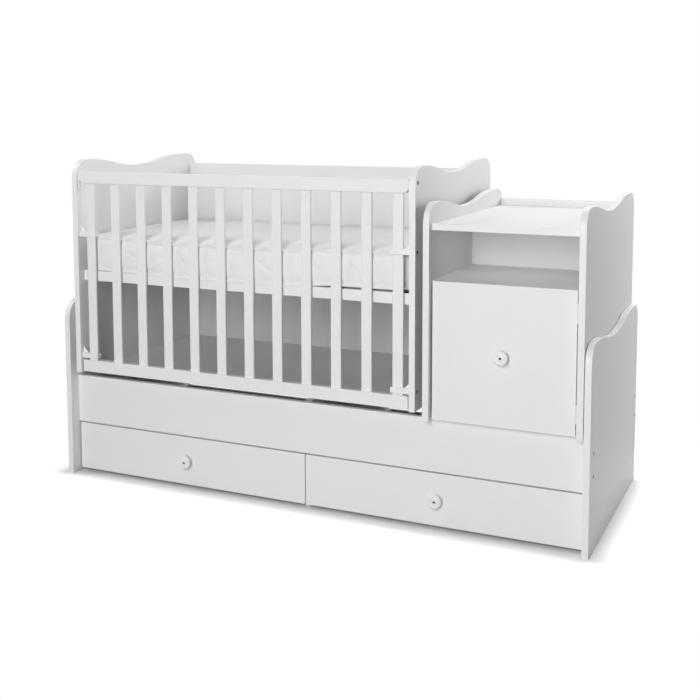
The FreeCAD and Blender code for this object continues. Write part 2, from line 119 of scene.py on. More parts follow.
# %% Wire class
class Wire:
    """An output socket of a node tree that can be used in Python expressions."""

    def __init__(self, tree, socket=None):
        self.tree = tree
        self.socket = socket

    def node(self, kind, inputs=None, out=0, **settings):
        made = self.tree.nodes.new(kind)
        for name, value in settings.items():
            setattr(made, name, value)
        self.feed(made, inputs or {})
        return Wire(self.tree, made.outputs[out])

    def feed(self, target, inputs):
        for key, value in inputs.items():
            if isinstance(value, Wire):
                self.tree.links.new(value.socket, target.inputs[key])
            else:
                target.inputs[key].default_value = value

    def sibling(self, out):
        """Another output of the same node."""
        return Wire(self.tree, self.socket.node.outputs[out])

    def math(self, operation, first, second=0.0):
        return self.node("ShaderNodeMath", {0: first, 1: second}, operation=operation)

    def __add__(self, other):
        return self.math("ADD", self, other)

    def __sub__(self, other):
        return self.math("SUBTRACT", self, other)

    def __rsub__(self, other):
        return self.math("SUBTRACT", other, self)

    def __mul__(self, other):
        return self.math("MULTIPLY", self, other)

    __radd__ = __add__
    __rmul__ = __mul__

    def __abs__(self):
        return self.math("ABSOLUTE", self)

    def part(self, axis):
        """One coordinate of a vector: 0, 1 or 2 for X, Y or Z."""
        return self.node("ShaderNodeSeparateXYZ", {0: self}, out=axis)

    def stretched(self, scale):
        """A vector whose three coordinates are scaled apart."""
        return self.node("ShaderNodeVectorMath", {0: self, 1: scale}, operation="MULTIPLY")

    def noise(self, scale, detail=2.0):
        """Soft random spots, from 0 to 1, on this vector."""
        inputs = {"Vector": self, "Scale": scale, "Detail": detail}
        return self.node("ShaderNodeTexNoise", inputs, out="Fac")

    def ramp(self, low, high):
        """0 below low, 1 above high, and a smooth rise between them."""
        inputs = {"Value": self, "From Min": low, "From Max": high}
        return self.node("ShaderNodeMapRange", inputs, interpolation_type="SMOOTHSTEP")

    def between(self, first, second):
        """A colour between two others, by this value."""
        inputs = {0: self, 6: first, 7: second}
        return self.node("ShaderNodeMix", inputs, out=2, data_type="RGBA")

    def bump(self, distance, strength=0.5):
        """A normal that follows this value as a height."""
        inputs = {"Height": self, "Distance": distance, "Strength": strength}
        return self.node("ShaderNodeBump", inputs, out="Normal")


print("node formulas ready")

# %% Start a finish
def new_finish(name):
    """A new material, its Principled shader, and a wire to start its formula from."""
    material = bpy.data.materials.new(name)
    material.use_nodes = True
    return material, material.node_tree.nodes["Principled BSDF"], Wire(material.node_tree)


def toned(colour, share):
    """A colour made lighter or darker, with its alpha."""
    return tuple(min(1.0, share * part) for part in colour) + (1.0,)


def grey(level):
    return (level, level, level, 1.0)


print("finish helpers ready")

# %% [markdown]
# ## White background
# The object stands on a white floor that runs into a white background, as in a catalogue. Stronger
# lamps would make the floor white too, but they would bleach the object. So world and floor glow only
# for rays that come from the camera or from a mirror, and add no light to the object. Close to the
# boards the floor's glow fades out. The floor keeps their real shadow there, and the fading glow adds
# a painted shadow round the foot of the object.

# %% World and floor
# The drawers stand back from the front of the box, so the foot on the floor is smaller than the box
foot_inset = (0.0, 0.032)
# Over this reach from the foot the floor's glow fades in, which paints a shadow round the object on top
# of its real shadow
painted_shadow_reach = 0.065
glow_start, glow_full = 0.08, 0.48


def seen_directly(start):
    """1 for rays from the camera, from a mirror or through glass, and 0 for the light itself."""
    path = "ShaderNodeLightPath"
    seen = start.node(path, out="Is Camera Ray") + start.node(path, out="Is Glossy Ray")
    return (seen + start.node(path, out="Is Transmission Ray")).ramp(0.0, 1.0)


def white_world(fill):
    world = bpy.data.worlds.new("studio")
    world.use_nodes = True
    start = Wire(world.node_tree)
    strength = seen_directly(start) * (1.0 - fill) + fill
    background = world.node_tree.nodes["Background"]
    start.feed(background, {"Color": grey(1.0), "Strength": strength})
    bpy.context.scene.world = world


def foot_distance(start):
    """How far a place on the floor lies outside the foot of the object."""
    place = start.node("ShaderNodeTexCoord", out="Object")
    gaps = []
    for axis in (0, 1):
        low = cad_box[0][axis] + foot_inset[axis]
        high = cad_box[1][axis] - foot_inset[axis]
        off_middle = abs(place.part(axis) - (low + high) / 2)
        gaps.append(start.math("MAXIMUM", off_middle - (high - low) / 2, 0.0))
    return start.math("SQRT", gaps[0] * gaps[0] + gaps[1] * gaps[1])


def white_floor(half_side, bounce, seen, lift):
    mesh = bpy.data.meshes.new("studio_floor")
    signs = [(-1, -1), (1, -1), (1, 1), (-1, 1)]
    corners = [(half_side * i, half_side * j, 0) for i, j in signs]
    mesh.from_pydata(corners, [], [(0, 1, 2, 3)])
    floor = placed("studio_floor", mesh)
    material, shader, start = new_finish("studio_floor")
    away = foot_distance(start)
    # Where the glow is held back near the foot, the floor shows a painted shadow as well as the real
    # one
    painted_shadow_ramp, far = away.ramp(0.0, painted_shadow_reach), away.ramp(glow_start, glow_full)
    glow = far.between(painted_shadow_ramp.between(grey(0.0), grey(lift)), grey(1.0))
    plain = far.between(grey(seen), grey(0.0))
    direct = seen_directly(start)
    start.feed(shader, {
        "Base Color": direct.between(grey(bounce), plain),
        "Roughness": 0.9,
        "Specular IOR Level": 0.0,
        "Emission Color": direct.between(grey(0.0), glow),
        "Emission Strength": 1.0,
    })
    mesh.materials.append(material)


white_world(fill=0.02)
white_floor(half_side=60.0, bounce=0.5, seen=0.9, lift=0.5)
bpy.context.scene.view_settings.view_transform = "Standard"
print("white world and floor set")

# %% [markdown]
# ## Lamps
# A white object on white shows its form only by soft shades of grey, so the lamps are wide and stand
# on several sides. Two in front light the boards that face us. Two above, on the left and behind,
# brighten the tops, and two on the right keep the sides from going dark. A weak one under the changing
# top stands for the light that a real niche catches from its own white walls.

# %% Hang the lamps
lamp_colour = (0.990, 1.0, 1.012)
front_aim = (0.1, -0.3, 0.5)
# Name, place, the point that it looks at, width and power
lamps = [
    ("front_lamp", (0.7, -5.5, 1.0), front_aim, 1.5, 64.0),
    ("front_high_lamp", (0.7, -4.9, 2.6), front_aim, 2.5, 142.0),
    ("left_lamp", (-2.6, -0.8, 3.2), (0.2, 0.0, 0.6), 1.5, 34.0),
    ("back_lamp", (0.3, 1.8, 3.2), (0.0, 0.0, 0.5), 2.0, 48.0),
    ("back_right_lamp", (1.6, 1.8, 1.5), (0.6, 0.2, 0.6), 1.0, 28.0),
    ("right_lamp", (4.5, 0.8, 1.0), (0.6, 0.1, 0.5), 2.5, 7.0),
    ("niche_lamp", (0.592, -0.17, 0.829), (0.592, -0.17, 0.70), 0.3, 0.045),
]


def soft_lamp(name, place, target, width, power):
    lamp = bpy.data.lights.new(name, "AREA")
    lamp.shape = "DISK"
    lamp.size = width
    lamp.energy = power
    lamp.color = lamp_colour
    holder = placed(name, lamp)
    holder.location = place
    aim = Vector(target) - Vector(place)
    holder.rotation_euler = aim.to_track_quat("-Z", "Y").to_euler()
    holder.visible_camera = False


for lamp_row in lamps:
    soft_lamp(*lamp_row)
print("lamps:", [lamp_row[0] for lamp_row in lamps])

# %% [markdown]
# ## White boards
# Ends, panels, rails and slats are boards with a white satin coat. The coat has a very fine peel, a
# faint grain that runs along the board, and edges with a slightly smoother strip. A picture of a board
# could be wrapped round each piece, but it would need a map for every shape. Noise that is stretched
# along one axis needs none, and the edge is found from the direction that a face looks in, so one
# function serves boards that lie in any direction.

# %% Board finish
board_white = (0.806, 0.800, 0.788)
grain_across, grain_along = 70.0, 2.5
cloud_scale, peel_scale = 1.7, 850.0
coat_relief = 0.00012


def board_finish(name, thin_axis, grain_axis):
    material, shader, start = new_finish(name)
    place = start.node("ShaderNodeTexCoord", out="Object")
    stretch = [grain_across] * 3
    stretch[grain_axis] = grain_along
    grain = place.stretched(tuple(stretch)).noise(1.0, 4.0)
    cloud = place.noise(cloud_scale, 3.0)
    peel = place.noise(peel_scale, 1.0)
    facing = abs(start.node("ShaderNodeNewGeometry", out="Normal").part(thin_axis))
    edge = 1.0 - facing.ramp(0.55, 0.95)
    shade = (cloud * 0.7 + grain * 0.3).ramp(0.25, 0.75)
    face = shade.between(toned(board_white, 0.985), toned(board_white, 1.01))
    start.feed(shader, {
        "Base Color": (edge * 0.6).between(face, toned(board_white, 1.03)),
        "Roughness": 0.40 + grain * 0.10 - edge * 0.08,
        "Normal": (grain * 0.6 + peel * 0.4).bump(coat_relief),
        "Specular IOR Level": 0.4,
    })
    return material


across_x, across_y, across_z = 0, 1, 2
upright_end = board_finish("white_board_end", across_x, across_z)
long_panel = board_finish("white_board_panel", across_y, across_x)
upright_panel = board_finish("white_board_door", across_y, across_z)
level_board = board_finish("white_board_level", across_z, across_x)
print("board finishes:", upright_end.name, long_panel.name, upright_panel.name, level_board.name)

# %% [markdown]
# ## Plastic, steel and black metal
# Guides, catches and castor housings are moulded plastic with a fine matt texture. The hinges are
# brushed along their length, so their noise is stretched upwards. The bolts are black, with a little
# wear in the coat, and the wheels are dark grey. Plain colours would do from afar, but a little noise
# in the roughness breaks up the reflections as a real surface does.

# %% Small part finishes
def plastic_finish(name, colour, roughness):
    material, shader, start = new_finish(name)
    place = start.node("ShaderNodeTexCoord", out="Object")
    spark = place.noise(1400.0)
    cloud = place.noise(45.0).ramp(0.3, 0.7)
    start.feed(shader, {
        "Base Color": cloud.between(toned(colour, 0.95), toned(colour, 1.03)),
        "Roughness": roughness + spark * 0.12,
        "Normal": spark.bump(0.00004),
    })
    return material


def brushed_finish(name, colour):
    material, shader, start = new_finish(name)
    place = start.node("ShaderNodeTexCoord", out="Object")
    lines = place.stretched((900.0, 900.0, 25.0)).noise(1.0, 3.0)
    start.feed(shader, {
        "Base Color": lines.between(toned(colour, 0.8), toned(colour, 1.1)),
        "Roughness": 0.22 + lines * 0.25,
        "Metallic": 1.0,
        "Normal": lines.bump(0.00005, 0.4),
    })
    return material


def black_metal_finish(name):
    material, shader, start = new_finish(name)
    place = start.node("ShaderNodeTexCoord", out="Object")
    wear = place.noise(420.0, 3.0).ramp(0.62, 0.8)
    start.feed(shader, {
        "Base Color": wear.between((0.022, 0.022, 0.024, 1.0), grey(0.12)),
        "Roughness": 0.42 - wear * 0.12,
        "Metallic": 0.7,
    })
    return material


white_plastic = plastic_finish("moulded_white", (0.82, 0.82, 0.81), 0.34)
wheel_plastic = plastic_finish("moulded_grey", (0.13, 0.13, 0.135), 0.45)
hinge_steel = brushed_finish("brushed_steel", (0.62, 0.62, 0.63))
black_metal = black_metal_finish("black_coat")
print("small part finishes:", white_plastic.name, hinge_steel.name, black_metal.name)

# %% [markdown]
# ## Dress the solids
# Each solid keeps its shape and gets the finish of its piece. Sixty pieces could be dressed by hand,
# but the record already says what each is made of, and a board's box tells which way it is thin. So a
# loop finds the finish, and only the door and the slats are named, because their grain stands upright.

# %% Give every solid its finish
upright_grain = ("chest_door", "drop_side_slats")


def board_material(node):
    low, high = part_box(node)
    sizes = [high[axis] - low[axis] for axis in range(3)]
    thin = sizes.index(min(sizes))
    if thin == across_x:
        return upright_end
    if thin == across_z:
        return level_board
    tall = sizes[2] > sizes[0]
    return upright_panel if tall or node in upright_grain else long_panel


slot_of = {entry["node"]: entry["material_slot"] for entry in frame["record"]["subparts"]}
plain_slots = {
    "white_plastic": white_plastic,
    "wheel_plastic": wheel_plastic,
    "hinge_steel": hinge_steel,
    "dark_bolt": black_metal,
}
for name, solid in nodes.items():
    solid.data.materials.clear()
    solid.data.materials.append(plain_slots.get(slot_of[name]) or board_material(name))
print("solids dressed:", len(nodes))

# %% [markdown]
# ## Bolt and screw heads
# Black bolts with a six-sided socket hold the boards together, and a cross-head screw holds each knob.
# Every head of a kind is the same turned shape, so one Geometry Nodes tree builds a head, cuts its
# recess, adds the shank and puts a copy on each point that it is given. Copies placed by hand would
# have to be moved again with every change of a board. The points come from the loose islands of the
# bolt solids instead, and the direction of each point is kept in an attribute.

# %% Find the fasteners
merge_distance = 1e-5
end_tolerance = 1e-4


def islands(node):
    """The separate bodies in a solid's mesh, each as a list of points."""
    mesh = bmesh.new()
    mesh.from_mesh(nodes[node].data)
    bmesh.ops.remove_doubles(mesh, verts=mesh.verts, dist=merge_distance)
    seen, groups = set(), []
    for first in mesh.verts:
        if first in seen:
            continue
        stack, group = [first], []
        seen.add(first)
        while stack:
            vertex = stack.pop()
            group.append(vertex.co.copy())
            for edge in vertex.link_edges:
                other = edge.other_vert(vertex)
                if other not in seen:
                    seen.add(other)
                    stack.append(other)
        groups.append(group)
    mesh.free()
    return groups


def fastener_spot(points):
    """The middle of the head's outer face, the direction that it looks in, and the length."""
    low = Vector([min(p[i] for p in points) for i in range(3)])
    high = Vector([max(p[i] for p in points) for i in range(3)])
    middle = (low + high) / 2
    axis = max(range(3), key=lambda i: high[i] - low[i])
    side = (axis + 1) % 3
    wide = {}
    for sign, end in ((-1, low[axis]), (1, high[axis])):
        at_end = [p for p in points if abs(p[axis] - end) < end_tolerance]
        wide[max(abs(p[side] - middle[side]) for p in at_end)] = (sign, end)
    sign, end = wide[max(wide)]
    middle[axis] = end
    aim = Vector((0, 0, 0))
    aim[axis] = sign
    return middle, aim, high[axis] - low[axis]


bolt_nodes = ["base_bolts", "crib_bolts", "mattress_base_bolts"]
bolt_spots = {node: [fastener_spot(group) for group in islands(node)] for node in bolt_nodes}
print("bolts found:", {node: len(spots) for node, spots in bolt_spots.items()})

# %% Start and end a tree
def empty_tree(name, sizes, others):
    """A tree whose inputs are a geometry, named sizes, others by their kind, and a material."""
    tree = bpy.data.node_groups.new(name, "GeometryNodeTree")
    kinds = {"Geometry": "Geometry", **{size: "Float" for size in sizes}, **others}
    kinds["Material"] = "Material"
    for socket_name, kind in kinds.items():
        tree.interface.new_socket(socket_name, in_out="INPUT", socket_type="NodeSocket" + kind)
    tree.interface.new_socket("Geometry", in_out="OUTPUT", socket_type="NodeSocketGeometry")
    inlet = tree.nodes.new("NodeGroupInput")
    given = {socket.name: Wire(tree, socket) for socket in inlet.outputs if socket.name}
    return tree, Wire(tree), given


def close_tree(tree, start, given, result, smooth_faces):
    """Ends a tree with real faces, a smooth surface where it is wanted, and a material."""
    solid = start.node("GeometryNodeRealizeInstances", {"Geometry": result})
    if smooth_faces:
        solid = start.node("GeometryNodeSetShadeSmooth", {0: solid})
    finish = {"Geometry": solid, "Material": given["Material"]}
    painted = start.node("GeometryNodeSetMaterial", finish)
    tree.links.new(painted.socket, tree.nodes.new("NodeGroupOutput").inputs[0])
    return tree


print("tree helpers ready")

# %% Build the fastener tree
head_steps, shank_steps, socket_sides = 32, 16, 6
slot_share = 0.45


def lifted(start, piece, height):
    offset = start.node("ShaderNodeCombineXYZ", {"Z": height})
    return start.node("GeometryNodeTransform", {"Geometry": piece, "Translation": offset})


def cylinder(start, steps, radius, depth):
    inputs = {"Vertices": steps, "Radius": radius, "Depth": depth}
    return start.node("GeometryNodeMeshCylinder", inputs)


def bar(start, long, wide, deep):
    size = start.node("ShaderNodeCombineXYZ", {"X": long, "Y": wide, "Z": deep})
    return start.node("GeometryNodeMeshCube", {"Size": size})


def cut(start, piece, cutter):
    inputs = {"Mesh 1": piece, "Mesh 2": cutter}
    return start.node("GeometryNodeMeshBoolean", inputs, operation="DIFFERENCE")


def plain_head(start, radius, height, edge):
    """A disc with a bevelled rim, whose face lies at height 0."""
    inputs = {"Vertices": head_steps, "Radius": radius}
    disc = start.node("GeometryNodeMeshCircle", inputs, fill_type="NGON")
    inputs = {"Mesh": disc, "Offset Scale": height - edge}
    wall = start.node("GeometryNodeExtrudeMesh", inputs)
    inputs = {"Mesh": wall, "Selection": wall.sibling("Top"), "Offset Scale": edge}
    rim = start.node("GeometryNodeExtrudeMesh", inputs)
    shrink = start.math("DIVIDE", radius - edge, radius)
    inputs = {"Geometry": rim, "Selection": rim.sibling("Top"), "Scale": shrink}
    return lifted(start, start.node("GeometryNodeScaleElements", inputs), 0.0 - height)


def fastener_tree():
    sizes = ["Head Radius", "Head Height", "Edge", "Recess Radius", "Recess Depth"]
    sizes += ["Shank Radius", "Shank Length"]
    tree, start, given = empty_tree("fastener_heads", sizes, {"Cross Recess": "Bool"})
    height = given["Head Height"]
    head = plain_head(start, given["Head Radius"], height, given["Edge"])
    reach, deep = given["Recess Radius"], given["Recess Depth"] * 2.0
    socketed = cut(start, head, cylinder(start, socket_sides, reach, deep))
    slotted = cut(start, head, bar(start, reach * 2.0, reach * slot_share, deep))
    crossed = cut(start, slotted, bar(start, reach * slot_share, reach * 2.0, deep))
    choice = {"Switch": given["Cross Recess"], "False": socketed, "True": crossed}
    cut_head = start.node("GeometryNodeSwitch", choice, input_type="GEOMETRY")
    long = given["Shank Length"]
    shank = cylinder(start, shank_steps, given["Shank Radius"], long)
    shank = lifted(start, shank, 0.0 - height - long * 0.5)
    whole = start.node("GeometryNodeJoinGeometry", {0: shank})
    start.feed(whole.socket.node, {0: cut_head})
    kept_aim = "GeometryNodeInputNamedAttribute"
    aim = start.node(kept_aim, {"Name": "aim"}, data_type="FLOAT_VECTOR")
    turn = start.node("FunctionNodeAlignRotationToVector", {"Vector": aim}, axis="Z")
    spread = {"Points": given["Geometry"], "Instance": whole, "Rotation": turn}
    copies = start.node("GeometryNodeInstanceOnPoints", spread)
    return close_tree(tree, start, given, copies, smooth_faces=False)


fastener_heads = fastener_tree()
print("fastener tree nodes:", len(fastener_heads.nodes))

# %% Put the heads in place
sharp_head_angle = math.radians(35)


def grown(name, source, tree, values):
    """Runs a Geometry Nodes tree on a mesh and keeps the result as a plain mesh."""
    holder = placed(name, source)
    modifier = holder.modifiers.new("tree", "NODES")
    modifier.node_group = tree
    for item in tree.interface.items_tree:
        if item.in_out == "INPUT" and item.name in values:
            modifier[item.identifier] = values[item.name]
    evaluated = holder.evaluated_get(bpy.context.evaluated_depsgraph_get())
    result = bpy.data.meshes.new_from_object(evaluated)
    holder.modifiers.remove(modifier)
    result.name = name
    holder.data = result
    bpy.data.meshes.remove(source)
    return holder


def fasteners(name, node, body, spots, sizes):
    source = bpy.data.meshes.new(name + "_points")
    source.from_pydata([tuple(place) for place, aim, run in spots], [], [])
    attribute = source.attributes.new("aim", "FLOAT_VECTOR", "POINT")
    for item, (place, aim, run) in zip(attribute.data, spots):
        item.vector = aim
    piece = grown(name, source, fastener_heads, dict(sizes, Material=black_metal))
    piece.data.set_sharp_from_angle(angle=sharp_head_angle)
    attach(piece, body)
    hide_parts(node)
    return piece


bolt_sizes = {
    "Head Radius": 0.006, "Head Height": 0.005, "Edge": 0.0008, "Recess Radius": 0.0026,
    "Recess Depth": 0.003, "Shank Radius": 0.003, "Cross Recess": False,
}
for node, spots in bolt_spots.items():
    shank_length = spots[0][2] - bolt_sizes["Head Height"]
    sizes = dict(bolt_sizes, **{"Shank Length": shank_length})
    made = fasteners(node + "_heads", node, "frame", spots, sizes)
    print(made.name, "faces:", len(made.data.polygons))

# %% [markdown]
# ## Knobs
# The three knobs are turned discs with a rounded rim, a fine groove round the middle, and a sunk hole
# for the screw. A turned shape is a half outline carried round an axis. The Screw modifier can do that,
# but it stacks a row of points on each pole, so a short function lays the outline at many angles, with
# one point on each pole, and joins the rings. The groove and the rim need close points to stay crisp,
# and the back is hidden, so the points are spent on the front.

# %% Turn the knobs
millimetre = 0.001
knob_steps = 96
sharp_knob_angle = math.radians(50)
# Radius and height over the face of the board, in millimetres
knob_outline = [
    (0.0, 0.0), (9.0, 0.0), (9.0, 5.6), (9.4, 6.8), (11.2, 8.2), (14.6, 9.9), (17.6, 11.2),
    (19.2, 12.1), (19.8, 13.0), (20.0, 14.2), (20.0, 16.4), (19.75, 17.9), (19.1, 19.3),
    (18.1, 20.5), (16.9, 21.3), (15.7, 21.75), (14.6, 21.95), (13.4, 21.85), (12.4, 21.6),
    (11.8, 21.2), (11.3, 20.95), (10.7, 20.95), (10.2, 21.15), (9.8, 21.5), (9.0, 21.75),
    (7.0, 21.95), (4.3, 21.95), (3.7, 21.75), (3.35, 21.3), (3.3, 19.0), (0.0, 19.0),
]


def turned(name, outline, place, steps):
    """A closed turned mesh that stands on the board's face at place."""
    mesh = bmesh.new()
    rings = []
    for radius, height in outline:
        y = place[1] - height * millimetre
        count = 1 if radius == 0 else steps
        ring = []
        for step in range(count):
            angle = 2 * math.pi * step / steps
            x = place[0] + radius * millimetre * math.cos(angle)
            z = place[2] + radius * millimetre * math.sin(angle)
            ring.append(mesh.verts.new((x, y, z)))
        rings.append(ring)
    for first, second in zip(rings, rings[1:]):
        for step in range(steps):
            a, b = first[step % len(first)], first[(step + 1) % len(first)]
            c, d = second[(step + 1) % len(second)], second[step % len(second)]
            mesh.faces.new(list(dict.fromkeys((a, b, c, d))))
    bmesh.ops.recalc_face_normals(mesh, faces=mesh.faces)
    data = bpy.data.meshes.new(name)
    mesh.to_mesh(data)
    mesh.free()
    data.shade_smooth()
    data.set_sharp_from_angle(angle=sharp_knob_angle)
    return placed(name, data)


screw_sizes = {
    "Head Radius": 0.0032, "Head Height": 0.0025, "Edge": 0.0006, "Recess Radius": 0.0020,
    "Recess Depth": 0.0014, "Shank Radius": 0.002, "Shank Length": 0.030, "Cross Recess": True,
}
knob_white = plastic_finish("knob_white", (0.81, 0.81, 0.805), 0.30)
for body in ("drawer_left", "drawer_right", "chest_door"):
    low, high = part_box(body + "_knob")
    face = ((low[0] + high[0]) / 2, high[1], (low[2] + high[2]) / 2)
    knob = turned(body + "_turned_knob", knob_outline, face, knob_steps)
    knob.data.materials.append(knob_white)
    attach(knob, body)
    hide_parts(body + "_knob")
    screw = body + "_knob_screw"
    spots = [fastener_spot(group) for group in islands(screw)]
    fasteners(screw + "_head", screw, body, spots, screw_sizes)
    print(knob.name, "faces:", len(knob.data.polygons), "at", [round(v, 4) for v in face])

# %% [markdown]
# ## Mattress
# The mattress is a foam block in a white cover: a top panel, a side band and a bottom panel, sewn
# together at two piped seams with a soft roll above and below. The front edge is slack, so its middle
# sags a little over the rail, and its right end stands off it. A box with a Bevel modifier would miss
# all this. So the cover is laid out as a grid: a panel below, rings of points up the side, and a panel
# above. Small functions say where the edge sags, lifts and wanders, and every later step asks them.

# %% Sizes of the cover
mattress_low, mattress_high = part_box("crib_mattress")
cell = 0.008
corner_radius = 0.060
lower_seam = mattress_low[2] + 0.0125
upper_seam = mattress_low[2] + 0.0995
seam_inset = 0.0042
band_inset = 0.0024
roll_inset = 0.0070
upper_edge = 0.0095
top_crown = 0.0030
crown_border = 0.05
# Inset from the side, and height over the bottom or over the upper seam, of each ring of a roll
plain_roll = [(0.0046, 0.0002), (0.0020, 0.0014), (0.0006, 0.0040), (0.0004, 0.0082)]
hanging_roll = [(0.0013, 0.0008), (0.0012, -0.0046), (0.0000, -0.0064), (-0.0008, -0.0030)]
upper_roll = [(0.0006, 0.0030), (0.0008, 0.0060), (0.0030, 0.0085)]

# The plan keeps clear of the ends and the back, and reaches a little over the front edge
plan_low = (mattress_low[0] + 0.0005, mattress_low[1] - 0.0025)
plan_high = (mattress_high[0] - 0.0005, mattress_high[1] - 0.0012)
middle_x = (plan_low[0] + plan_high[0]) / 2
middle_y = (plan_low[1] + plan_high[1]) / 2
half_x = (plan_high[0] - plan_low[0]) / 2 - roll_inset
half_y = (plan_high[1] - plan_low[1]) / 2 - roll_inset
corner = corner_radius - roll_inset
columns = round(2 * half_x / cell)
rows = round(2 * half_y / cell)
band_rows = round((upper_seam - lower_seam) / cell)
beside_seam = 0.022
band_shares = [0.0, beside_seam] + [level / band_rows for level in range(1, band_rows)]
band_shares += [1.0 - beside_seam, 1.0]
print("cover grid:", columns, "by", rows, "cells, band", len(band_shares), "rings")

# %% How the edge sags, lifts and wanders
seam_sag = 0.0070
sag_starts, sag_grows = -0.72, 0.30
sag_ends, sag_fades = 0.06, 0.17
corner_lift = 0.0046
lift_starts, lift_grows, lift_depth = 0.01, 0.10, 0.25
# Size, pitch and seed of the waver in the upper and in the lower seam
seam_waver = {True: (0.0012, 0.09, 2.0), False: (0.0008, 0.07, 4.0)}


def waver(x, y, size, pitch, seed):
    """A smooth value that wanders over the plan, from about -size to size."""
    first = math.sin(x / pitch + 1.7 * math.sin(y / pitch * 0.6 + seed) + seed * 2.1)
    second = math.sin(y / pitch * 1.3 + 1.3 * math.sin(x / pitch * 0.7 + seed * 1.9) + seed)
    return size * (first + second) / 2


def smooth(share):
    """A soft step from 0 to 1."""
    share = max(0.0, min(1.0, share))
    return share * share * (3 - 2 * share)


def sag(x, y):
    """How slack the front edge hangs over the rail, from 0 to 1."""
    along = smooth((x - sag_starts) / sag_grows) * smooth((sag_ends - x) / sag_fades)
    return along * smooth(2 * (middle_y - y) / half_y - 1)


def front_lift(x, y):
    """How far the bottom stands off the rail at the front right corner."""
    forward = max(0.0, min(1.0, -y / lift_depth))
    return corner_lift * smooth((x - lift_starts) / lift_grows) * forward


def seam_height(x, y, upper):
    """The height of a seam, which wanders a little."""
    plain = upper_seam if upper else lower_seam + front_lift(x, y)
    return plain - seam_sag * sag(x, y) + waver(x, y, *seam_waver[upper])


deepest = seam_sag * sag((sag_starts + sag_ends) / 2, middle_y - half_y)
print("deepest sag:", round(deepest / millimetre, 1), "mm")

# %% Where the points of the cover lie
def rounded(x, y):
    """A place in the plan with its corners drawn into quarter circles."""
    over_x = max(abs(x) - (half_x - corner), 0.0) / corner
    over_y = max(abs(y) - (half_y - corner), 0.0) / corner
    if over_x > 0 and over_y > 0:
        x = math.copysign(half_x - corner * (1 - over_x * math.sqrt(1 - over_y**2 / 2)), x)
        y = math.copysign(half_y - corner * (1 - over_y * math.sqrt(1 - over_x**2 / 2)), y)
    return middle_x + x, middle_y + y


def outward(x, y):
    """The direction that the side of the mattress looks in, next to a place on its border."""
    core_x = max(-half_x + corner, min(half_x - corner, x - middle_x))
    core_y = max(-half_y + corner, min(half_y - corner, y - middle_y))
    return Vector((x - middle_x - core_x, y - middle_y - core_y, 0.0)).normalized()


def panel_place(i, j, upper):
    """A point of the top or bottom panel."""
    plain_x = -half_x + 2 * half_x * i / columns
    plain_y = -half_y + 2 * half_y * j / rows
    x, y = rounded(plain_x, plain_y)
    if not upper:
        return x, y, mattress_low[2] + front_lift(x, y)
    inward = min(half_x - abs(plain_x), half_y - abs(plain_y))
    share = min(inward / crown_border, 1.0)
    edge = seam_height(x, y, True) * (1 - share) + upper_seam * share + upper_edge
    crown = top_crown * (1 - (plain_x / half_x) ** 6) * (1 - (plain_y / half_y) ** 6)
    return x, y, edge + crown * math.sqrt(share)


def ring_heights(border):
    """Inset and height of each point in the rings: lower roll, band and upper roll."""
    rings = []
    for plain, hanging in zip(plain_roll, hanging_roll):
        ring = []
        for x, y, away in border:
            inset, rise = (a + (b - a) * sag(x, y) for a, b in zip(plain, hanging))
            ring.append((inset, front_lift(x, y) + mattress_low[2] + rise))
        rings.append(ring)
    low = [seam_height(x, y, False) for x, y, away in border]
    high = [seam_height(x, y, True) for x, y, away in border]
    for share in band_shares:
        inset = seam_inset if share in (0.0, 1.0) else band_inset
        rings.append([(inset, a + (b - a) * share) for a, b in zip(low, high)])
    for inset, rise in upper_roll:
        rings.append([(inset, height + rise) for height in high])
    return rings


def ring_places(border):
    """The points of the rings between the two panels."""
    places = []
    for ring in ring_heights(border):
        row = []
        for (x, y, away), (inset, z) in zip(border, ring):
            step = away * (roll_inset - inset)
            row.append((x + step[0], y + step[1], z))
        places.append(row)
    return places


print("first point:", [round(v, 4) for v in panel_place(0, 0, False)])

# %% Sew the cover
def panel_faces(mesh, cloth_map, upper):
    """Adds one panel and gives its points by their place in the grid."""
    points = {}
    for i in range(columns + 1):
        for j in range(rows + 1):
            points[i, j] = mesh.verts.new(panel_place(i, j, upper))
    for i in range(columns):
        for j in range(rows):
            around = [(i, j), (i + 1, j), (i + 1, j + 1), (i, j + 1)]
            order = around if upper else around[::-1]
            face = mesh.faces.new([points[place] for place in order])
            for loop, (a, b) in zip(face.loops, order):
                loop[cloth_map].uv = (2 * half_x * a / columns, 2 * half_y * b / rows)
    return points


def side_faces(mesh, cloth_map, levels):
    """Joins the rings of points round the side."""
    count = len(levels[0])
    for level in range(len(levels) - 1):
        for k in range(count):
            corners = [(level, k), (level, k + 1), (level + 1, k + 1), (level + 1, k)]
            face = mesh.faces.new([levels[a][b % count] for a, b in corners])
            for loop, (a, b) in zip(face.loops, corners):
                loop[cloth_map].uv = (b * cell, 1.0 + a * cell)


def cover_mesh(name):
    """A closed grid of the cover, with its own map of the cloth in metres."""
    mesh = bmesh.new()
    cloth_map = mesh.loops.layers.uv.new("cloth")
    above = panel_faces(mesh, cloth_map, True)
    below = panel_faces(mesh, cloth_map, False)
    turn = [(i, 0) for i in range(columns)] + [(columns, j) for j in range(rows)]
    turn += [(i, rows) for i in range(columns, 0, -1)] + [(0, j) for j in range(rows, 0, -1)]
    flat = [panel_place(i, j, False) for i, j in turn]
    border = [(x, y, outward(x, y)) for x, y, z in flat]
    levels = [[below[place] for place in turn]]
    for row in ring_places(border):
        levels.append([mesh.verts.new(place) for place in row])
    levels.append([above[place] for place in turn])
    side_faces(mesh, cloth_map, levels)
    mesh.verts.index_update()
    bottom = {vertex.index for vertex in below.values()}
    rings = [[vertex.index for vertex in level] for level in levels]
    data = bpy.data.meshes.new(name)
    mesh.to_mesh(data)
    mesh.free()
    return data, rings, bottom


